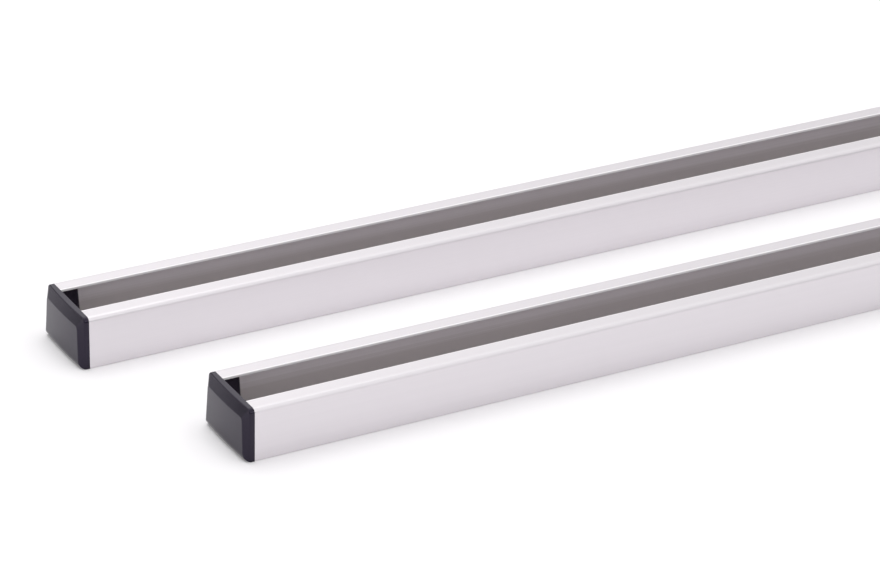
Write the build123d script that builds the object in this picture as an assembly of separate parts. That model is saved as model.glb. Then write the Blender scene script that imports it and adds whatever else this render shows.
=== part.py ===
from build123d import *
from math import radians, tan
import os

# A pair of aluminium roof rails, each a channel with an open top slot and a moulded cap at both ends.
# The rails lie side by side along X. The origin is on the floor, under the middle of the pair.

# Rail extrusion, mm
rail_length = 1200.0
rail_width = 48.0
rail_height = 30.0
wall_thickness = 1.5
web_thickness = 1.5
lip_thickness = 1.5
slot_width = 27.0
top_corner_radius = 2.5
foot_corner_radius = 0.4
inner_corner_radius = 0.8
lip_edge_radius = 0.35

# Place of the two rails, mm
rail_spacing = 129.0
front_rail_offset = 34.0

# Moulded end cap, mm and degrees; its depths are measured from the rail's end face
cap_depth = 6.6
flange_depth = 3.4
side_flange_depth = 2.8
crown_radius = 330.0
shoulder_drop = 5.8
panel_lean = 1.4
side_inset_foot = 2.1
side_inset_top = 6.75
shoulder_corner_radius = 5.0
panel_edge_radius = 1.5
foot_radius = 4.0
flange_edge_chamfer = 0.35
cap_wall = 2.0
pocket_depth = 2.8
leg_length = 13.0
leg_tip_slant = 4.0
leg_thickness = 2.0
leg_clearance = 0.15
leg_tip_chamfer = 0.7

# Sizes that follow from the ones above
channel_width = rail_width - 2 * wall_thickness
channel_height = rail_height - web_thickness - lip_thickness
panel_height = rail_height - shoulder_drop


# Channel extrusion: web, two side walls and two inward lips round a slot that is open to the top


def rail_section():
    with BuildSketch(Plane.YZ) as section:
        with Locations((0, rail_height / 2)):
            Rectangle(rail_width, rail_height)
        fillet(section.vertices().group_by(Axis.Y)[-1], top_corner_radius)
        fillet(section.vertices().group_by(Axis.Y)[0], foot_corner_radius)
        with Locations((0, web_thickness)):
            RectangleRounded(
                channel_width,
                channel_height,
                inner_corner_radius,
                align=(Align.CENTER, Align.MIN),
                mode=Mode.SUBTRACT,
            )
        with Locations((0, rail_height)):
            Rectangle(slot_width, 2 * lip_thickness, mode=Mode.SUBTRACT)
        lip_corners = section.vertices().filter_by(lambda v: abs(abs(v.X) - slot_width / 2) < 1e-6)
        fillet(lip_corners, lip_edge_radius)
    return section.sketch


def rail():
    """One rail, centred on X = 0, standing on Z = 0."""
    return Pos(-rail_length / 2, 0, 0) * extrude(rail_section(), rail_length, dir=(1, 0, 0))


# End cap: a flange with the rail's outline, a shoulder that slopes in from three sides, a crowned
# end panel, a moulding pocket in the back and two legs that push into the channel


def arched_block(width, height, depth):
    """Block from X = 0, flat on the floor, with the rail's two rounded upper corners."""
    with BuildSketch(Plane.YZ) as outline:
        Rectangle(width, height, align=(Align.CENTER, Align.MIN))
        fillet(outline.vertices().group_by(Axis.Y)[-1], top_corner_radius)
    return extrude(outline.sketch, depth, dir=(1, 0, 0))


def crowned_front(with_round_foot=False):
    """Panel and top shoulder, turned about a distant upright axis so that both bow outwards."""
    panel_top_depth = cap_depth - panel_height * tan(radians(panel_lean))
    behind_axis = crown_radius - cap_depth
    with BuildSketch(Plane.XZ) as profile:
        with BuildLine():
            Polyline(
                (behind_axis - cap_depth, 0),
                (behind_axis + cap_depth, 0),
                (behind_axis + panel_top_depth, panel_height),
                (behind_axis + flange_depth, rail_height),
                (behind_axis - cap_depth, rail_height),
                close=True,
            )
        make_face()
        if with_round_foot:
            fillet(profile.vertices().sort_by(Axis.X)[-1], foot_radius)
    return Pos(-behind_axis, 0, 0) * Rot(0, 0, 180) * revolve(profile.sketch, axis=Axis.Z)


def side_relief():
    """Wedge that cuts the +Y side of the shoulder; it reaches further in towards the top."""
    side = rail_width / 2
    with BuildSketch(Plane.YZ.offset(side_flange_depth)) as at_flange:
        with BuildLine():
            Polyline((side, 0), (side, rail_height), (rail_width, rail_height), (rail_width, 0), close=True)
        make_face()
    with BuildSketch(Plane.YZ.offset(cap_depth)) as at_panel:
        with BuildLine():
            Polyline(
                (side - side_inset_foot, 0),
                (side - side_inset_top, rail_height),
                (rail_width, rail_height),
                (rail_width, 0),
                close=True,
            )
        make_face()
    return loft([at_flange.sketch, at_panel.sketch], ruled=True)


def cap_shell():
    """Outer form of the cap, with its edges broken; the panel's foot is rounded last, under its edges."""
    shell = arched_block(rail_width, rail_height, 2 * cap_depth) & crowned_front()
    shell = shell - side_relief() - mirror(side_relief(), Plane.XZ)
    above_panel = panel_height + shoulder_drop / 10
    shoulder_corners = shell.edges().filter_by_position(Axis.Z, above_panel, rail_height - top_corner_radius)
    shell = fillet(shoulder_corners, shoulder_corner_radius)
    panel_edges = shell.faces().sort_by(Axis.X)[-1].edges() - shell.edges().group_by(Axis.Z)[0]
    shell = fillet(panel_edges, panel_edge_radius)
    flange_edges = shell.edges().filter_by_position(Axis.X, side_flange_depth, flange_depth)
    shell = chamfer(flange_edges.filter_by_position(Axis.Z, foot_radius, rail_height), flange_edge_chamfer)
    return shell & crowned_front(with_round_foot=True)


def cap_pocket():
    """Moulding recess in the cap's back, with an even wall round it."""
    recess = arched_block(rail_width - 2 * cap_wall, rail_height - 2 * cap_wall, pocket_depth)
    return Pos(0, 0, cap_wall) * recess


def cap_leg():
    """Leg inside the +Y side wall, from the pocket's floor into the channel, longest at its foot."""
    leg_foot = web_thickness + leg_clearance
    leg_head = rail_height - lip_thickness - leg_clearance
    foot_length = leg_length + (leg_head - leg_foot) * tan(radians(leg_tip_slant))
    with BuildSketch(Plane.XZ.offset(-(channel_width / 2 - leg_clearance))) as leg_side:
        with BuildLine():
            Polyline(
                (pocket_depth, leg_foot),
                (-foot_length, leg_foot),
                (-leg_length, leg_head),
                (pocket_depth, leg_head),
                close=True,
            )
        make_face()
    leg = extrude(leg_side.sketch, leg_thickness)
    outer_edges = leg.edges().filter_by(Axis.X).group_by(Axis.Y)[-1]
    leg = chamfer(outer_edges, inner_corner_radius)
    return chamfer(leg.faces().sort_by(Axis.X)[0].edges(), leg_tip_chamfer)


def end_cap():
    """Cap for the rail's +X end: the rail's end face is its X = 0 plane."""
    return cap_shell() - cap_pocket() + cap_leg() + mirror(cap_leg(), Plane.XZ)


# The two rails and their four caps, each in its own place

os.makedirs("parts", exist_ok=True)

rail_places = {
    "rear": Pos(-front_rail_offset / 2, rail_spacing / 2, 0),
    "front": Pos(front_rail_offset / 2, -rail_spacing / 2, 0),
}
cap_places = {
    "left": Pos(-rail_length / 2, 0, 0) * Rot(0, 0, 180),
    "right": Pos(rail_length / 2, 0, 0),
}

rail_body = rail()
cap_body = end_cap()

for rail_name, rail_place in rail_places.items():
    export_step(rail_place * rail_body, f"parts/{rail_name}_rail.step")
    for end_name, cap_place in cap_places.items():
        export_step(rail_place * cap_place * cap_body, f"parts/{rail_name}_rail_{end_name}_cap.step")
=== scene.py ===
import math

import bmesh
import bpy
from mathutils import Matrix, Vector

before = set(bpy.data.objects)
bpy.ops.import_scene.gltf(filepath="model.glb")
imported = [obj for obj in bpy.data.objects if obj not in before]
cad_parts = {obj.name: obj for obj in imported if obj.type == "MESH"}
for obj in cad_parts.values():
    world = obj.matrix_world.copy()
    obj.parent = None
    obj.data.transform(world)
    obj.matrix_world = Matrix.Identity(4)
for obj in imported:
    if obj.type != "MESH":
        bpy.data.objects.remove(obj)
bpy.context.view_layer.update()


# The rails. Each is one aluminium extrusion, sawn to length, etched to a soft satin with
# fine die lines and silver anodised. Shade is painted down in the channel, darker lower
# down, and a highlight is painted on the edges of the lips along the open slot.

ALUMINIUM_LIGHT = (0.785, 0.752, 0.782, 1)
ALUMINIUM_DARK = (0.740, 0.709, 0.737, 1)
# Painted shade: the colour of the channel's inside lower down.
ALUMINIUM_PAINTED_SHADE = (0.590, 0.556, 0.562, 1)
# Painted highlight: the colour of the lips' edges along the open slot.
ALUMINIUM_PAINTED_HIGHLIGHT = (0.93, 0.91, 0.93, 1)
ALUMINIUM_METALLIC = 0.60
HIGHLIGHT_METALLIC_LOSS = 0.55
ALUMINIUM_ROUGHNESS = 0.36
ROUGHER_BY_LINES = 0.06
ROUGHER_BY_ETCH = 0.06

# Die lines run along X. Lengths are in metres, and a share is what the lines give of a mix.
DIE_LINE_LENGTH = 0.45
DIE_LINE_WIDTH = 0.0011
DIE_LINE_DETAIL = 4.0
ETCH_GRAIN = 0.00022
ETCH_DETAIL = 2.0
TONE_SHARE_OF_LINES = 0.7
RELIEF_SHARE_OF_LINES = 0.5
RELIEF_STRENGTH = 0.12
RELIEF_DEPTH = 0.00005

# Reaches are measured sideways from a rail's middle line, and heights from the floor.
RAIL_FROM_MIDDLE = 0.0645
CHANNEL_REACH = 0.0227
CHANNEL_TOP = 0.0287
# The painted shade in the channel fades in between these two heights, with a small wander.
PAINTED_SHADE_FROM = 0.0205
PAINTED_SHADE_FULL_BELOW = 0.0140
PAINTED_SHADE_WANDER = 0.006
NOISE_MIDDLE = 0.5
# Where the painted highlight lies on the lips' edges along the slot, and how pale it is at least.
LIP_EDGE_REACH = 0.0143
LIP_EDGE_FOOT = 0.0284
LEAST_HIGHLIGHT_SHARE = 0.75


class Value:
    """A number in a shader: arithmetic on it adds the Math nodes."""

    def __init__(self, socket):
        self.socket = socket

    def math(self, operation, first, second=0.0):
        tree = self.socket.node.id_data
        node = tree.nodes.new("ShaderNodeMath")
        node.operation = operation
        for entry, term in zip(node.inputs, (first, second)):
            if isinstance(term, Value):
                tree.links.new(term.socket, entry)
            else:
                entry.default_value = term
        return Value(node.outputs[0])

    def __abs__(self):
        return self.math("ABSOLUTE", self)

    def __lt__(self, other):
        return self.math("LESS_THAN", self, other)

    def __add__(self, other):
        return self.math("ADD", self, other)

    def __radd__(self, other):
        return self.math("ADD", other, self)

    def __sub__(self, other):
        return self.math("SUBTRACT", self, other)

    def __rsub__(self, other):
        return self.math("SUBTRACT", other, self)

    def __mul__(self, other):
        return self.math("MULTIPLY", self, other)

    def __rmul__(self, other):
        return self.math("MULTIPLY", other, self)


class Finish:
    """The node tree of a material, or of the surround."""

    def __init__(self, owner):
        self.owner = owner
        self.owner.use_nodes = True
        self.tree = self.owner.node_tree
        self.tree.nodes.clear()

    def node(self, kind, settings=None, inputs=None, output=0):
        """Add a node of any other kind, settings first, and give one of its outputs."""
        node = self.tree.nodes.new(kind)
        for name, value in (settings or {}).items():
            setattr(node, name, value)
        for name, value in (inputs or {}).items():
            if isinstance(value, Value):
                self.tree.links.new(value.socket, node.inputs[name])
            else:
                node.inputs[name].default_value = value
        return Value(node.outputs[output]) if node.outputs else None


def anodised_aluminium():
    finish = Finish(bpy.data.materials.new("satin_anodised_aluminium"))
    place = finish.node("ShaderNodeTexCoord", output="Object")
    along = finish.node(
        "ShaderNodeMapping",
        inputs={
            "Vector": place,
            "Scale": (1 / DIE_LINE_LENGTH, 1 / DIE_LINE_WIDTH, 1 / DIE_LINE_WIDTH),
        },
    )
    die_lines = finish.node(
        "ShaderNodeTexNoise", inputs={"Vector": along, "Scale": 1.0, "Detail": DIE_LINE_DETAIL}
    )
    grain = finish.node(
        "ShaderNodeTexNoise", inputs={"Vector": place, "Scale": 1 / ETCH_GRAIN, "Detail": ETCH_DETAIL}
    )
    bright = finish.node(
        "ShaderNodeMix",
        {"data_type": "RGBA"},
        {
            "Factor": die_lines * TONE_SHARE_OF_LINES + grain * (1 - TONE_SHARE_OF_LINES),
            "A": ALUMINIUM_DARK,
            "B": ALUMINIUM_LIGHT,
        },
        output="Result",
    )
    sideways = finish.node("ShaderNodeSeparateXYZ", inputs={"Vector": place}, output="Y")
    across = abs(abs(sideways) - RAIL_FROM_MIDDLE)
    height = finish.node("ShaderNodeSeparateXYZ", inputs={"Vector": place}, output="Z")
    # Painted shade: inside the channel the colour darkens towards the web, below the lips.
    painted_shade = finish.node(
        "ShaderNodeMapRange",
        {"interpolation_type": "SMOOTHSTEP"},
        {
            "Value": height + (die_lines - NOISE_MIDDLE) * PAINTED_SHADE_WANDER,
            "From Min": PAINTED_SHADE_FROM,
            "From Max": PAINTED_SHADE_FULL_BELOW,
        },
    )
    in_channel = (across < CHANNEL_REACH) * (height < CHANNEL_TOP)
    tone_with_painted_shade = finish.node(
        "ShaderNodeMix",
        {"data_type": "RGBA"},
        {"Factor": in_channel * painted_shade, "A": bright, "B": ALUMINIUM_PAINTED_SHADE},
        output="Result",
    )
    # Painted highlight: the lips' edges along the slot are paler and less metallic, in place of the
    # light their rounding would catch.
    on_lip_edge = (across < LIP_EDGE_REACH) * (1 - (height < LIP_EDGE_FOOT))
    painted_highlight = on_lip_edge * (LEAST_HIGHLIGHT_SHARE + grain * (1 - LEAST_HIGHLIGHT_SHARE))
    tone = finish.node(
        "ShaderNodeMix",
        {"data_type": "RGBA"},
        {"Factor": painted_highlight, "A": tone_with_painted_shade, "B": ALUMINIUM_PAINTED_HIGHLIGHT},
        output="Result",
    )
    relief = finish.node(
        "ShaderNodeBump",
        inputs={
            "Height": die_lines * RELIEF_SHARE_OF_LINES + grain * (1 - RELIEF_SHARE_OF_LINES),
            "Strength": RELIEF_STRENGTH,
            "Distance": RELIEF_DEPTH,
        },
    )
    surface = finish.node(
        "ShaderNodeBsdfPrincipled",
        inputs={
            "Base Color": tone,
            "Metallic": ALUMINIUM_METALLIC - painted_highlight * HIGHLIGHT_METALLIC_LOSS,
            "Roughness": ALUMINIUM_ROUGHNESS + die_lines * ROUGHER_BY_LINES + grain * ROUGHER_BY_ETCH,
            "Normal": relief,
        },
    )
    finish.node("ShaderNodeOutputMaterial", inputs={"Surface": surface})
    return finish.owner


rail_finish = anodised_aluminium()
for rail_name in ("rear_rail", "front_rail"):
    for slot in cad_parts[rail_name].material_slots:
        slot.material = rail_finish


# The end caps. Each is injection moulded in black plastic with a fine spark-eroded
# texture and a satin sheen. Its flange has the rail's outline, a shoulder slopes from
# there to the crowned end panel, and two legs push into the rail's channel.

PLASTIC_BLACK = (0.0045, 0.0035, 0.0085, 1)
PLASTIC_GREY = (0.0080, 0.0062, 0.0130, 1)
PLASTIC_SHEEN = (0.84, 0.74, 1.0, 1)
PLASTIC_REFRACTION = 1.45
PLASTIC_ROUGHNESS = 0.11
ROUGHER_BY_SPARKS = 0.10
ROUGHER_BY_FLOW = 0.06
SPARK_GRAIN = 0.00030
SPARK_DETAIL = 3.0
SPARK_STRENGTH = 0.35
SPARK_DEPTH = 0.00006
MELT_FLOW = 0.009
MELT_DETAIL = 2.0
TONE_SHARE_OF_SPARKS = 0.5


def moulded_plastic():
    finish = Finish(bpy.data.materials.new("satin_moulded_plastic"))
    place = finish.node("ShaderNodeTexCoord", output="Object")
    grain = finish.node(
        "ShaderNodeTexNoise", inputs={"Vector": place, "Scale": 1 / SPARK_GRAIN, "Detail": SPARK_DETAIL}
    )
    flow = finish.node(
        "ShaderNodeTexNoise", inputs={"Vector": place, "Scale": 1 / MELT_FLOW, "Detail": MELT_DETAIL}
    )
    tone = finish.node(
        "ShaderNodeMix",
        {"data_type": "RGBA"},
        {
            "Factor": grain * TONE_SHARE_OF_SPARKS + flow * (1 - TONE_SHARE_OF_SPARKS),
            "A": PLASTIC_BLACK,
            "B": PLASTIC_GREY,
        },
        output="Result",
    )
    relief = finish.node(
        "ShaderNodeBump",
        inputs={"Height": grain, "Strength": SPARK_STRENGTH, "Distance": SPARK_DEPTH},
    )
    surface = finish.node(
        "ShaderNodeBsdfPrincipled",
        inputs={
            "Base Color": tone,
            "Roughness": PLASTIC_ROUGHNESS + grain * ROUGHER_BY_SPARKS + flow * ROUGHER_BY_FLOW,
            "IOR": PLASTIC_REFRACTION,
            "Specular Tint": PLASTIC_SHEEN,
            "Normal": relief,
        },
    )
    finish.node("ShaderNodeOutputMaterial", inputs={"Surface": surface})
    return finish.owner


cap_finish = moulded_plastic()
for rail_name in ("rear_rail", "front_rail"):
    for end_name in ("left", "right"):
        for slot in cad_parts[f"{rail_name}_{end_name}_cap"].material_slots:
            slot.material = cap_finish


# The studio: a sheet of white card as the floor, a soft surround that is dim near the
# horizon and bright above, and softboxes over the near ends, in front and at the back.

FLOOR_SIZE = 30.0
FLOOR_DROP = 0.0001
FLOOR_WHITE = (0.890, 0.876, 0.892, 1)
FLOOR_LIFT = 0.05
SURROUND_WHITE = (1, 1, 1, 1)
SURROUND_HORIZON = 0.10
SURROUND_OVERHEAD = 1.00
SURROUND_RISE = 0.6

# Each softbox has its place, the length of its sides and its radiance.
SOFTBOXES = {
    "overhead_softbox": (Vector((-0.55, 0.36, 1.15)), 1.0, 1.55),
    "front_softbox": (Vector((0.10, -2.50, 1.20)), 1.1, 1.8),
    "back_softbox": (Vector((0.40, 2.60, 1.50)), 1.0, 0.55),
}


def white_card():
    finish = Finish(bpy.data.materials.new("white_card"))
    seen = finish.node("ShaderNodeLightPath", output="Is Camera Ray")
    mirrored = finish.node("ShaderNodeLightPath", output="Is Glossy Ray")
    card = finish.node("ShaderNodeBsdfDiffuse", inputs={"Color": FLOOR_WHITE})
    lift = finish.node("ShaderNodeEmission", inputs={"Strength": FLOOR_LIFT * (seen + mirrored)})
    sheet = finish.node("ShaderNodeAddShader", inputs={0: card, 1: lift})
    finish.node("ShaderNodeOutputMaterial", inputs={"Surface": sheet})
    return finish.owner


def soft_surround():
    finish = Finish(bpy.data.worlds.new("surround"))
    direction = finish.node("ShaderNodeTexCoord", output="Generated")
    height = finish.node("ShaderNodeSeparateXYZ", inputs={"Vector": direction}, output="Z")
    strength = finish.node(
        "ShaderNodeMapRange",
        {"interpolation_type": "SMOOTHSTEP"},
        {
            "Value": height,
            "From Min": 0.0,
            "From Max": SURROUND_RISE,
            "To Min": SURROUND_HORIZON,
            "To Max": SURROUND_OVERHEAD,
        },
    )
    glow = finish.node("ShaderNodeBackground", inputs={"Color": SURROUND_WHITE, "Strength": strength})
    finish.node("ShaderNodeOutputWorld", inputs={"Surface": glow})
    return finish.owner


floor_mesh = bpy.data.meshes.new("floor")
card_sheet = bmesh.new()
bmesh.ops.create_grid(card_sheet, x_segments=1, y_segments=1, size=FLOOR_SIZE / 2)
bmesh.ops.translate(card_sheet, verts=card_sheet.verts, vec=(0, 0, -FLOOR_DROP))
card_sheet.to_mesh(floor_mesh)
card_sheet.free()
floor_mesh.materials.append(white_card())
floor = bpy.data.objects.new("floor", floor_mesh)
bpy.context.scene.collection.objects.link(floor)
bpy.context.scene.world = soft_surround()

for box_name, (box_place, box_size, radiance) in SOFTBOXES.items():
    light = bpy.data.lights.new(box_name, "AREA")
    light.shape = "SQUARE"
    light.size = box_size
    light.energy = radiance * math.pi * box_size**2
    softbox = bpy.data.objects.new(box_name, light)
    softbox.location = box_place
    softbox.rotation_euler = (-box_place).to_track_quat("-Z", "Y").to_euler()
    bpy.context.scene.collection.objects.link(softbox)


# The camera stands to the left and in front of the rails and looks down their length.

CAMERA_PLACE = (-1.3037, -1.5468, 0.9171)
CAMERA_AZIMUTH = math.radians(29.54)
CAMERA_PITCH = math.radians(26.75)
CAMERA_ROLL = math.radians(1.52)
SENSOR_WIDTH = 36.0
FOCAL_LENGTH = 149.7

view = bpy.data.cameras.new("view")
view.sensor_fit = "HORIZONTAL"
view.sensor_width = SENSOR_WIDTH
view.lens = FOCAL_LENGTH
camera = bpy.data.objects.new("view", view)
camera.matrix_world = (
    Matrix.Translation(CAMERA_PLACE)
    @ Matrix.Rotation(-CAMERA_AZIMUTH, 4, "Z")
    @ Matrix.Rotation(math.pi / 2 - CAMERA_PITCH, 4, "X")
    @ Matrix.Rotation(CAMERA_ROLL, 4, "Z")
)
bpy.context.scene.collection.objects.link(camera)
bpy.context.scene.camera = camera
bpy.context.scene.view_settings.view_transform = "Standard"
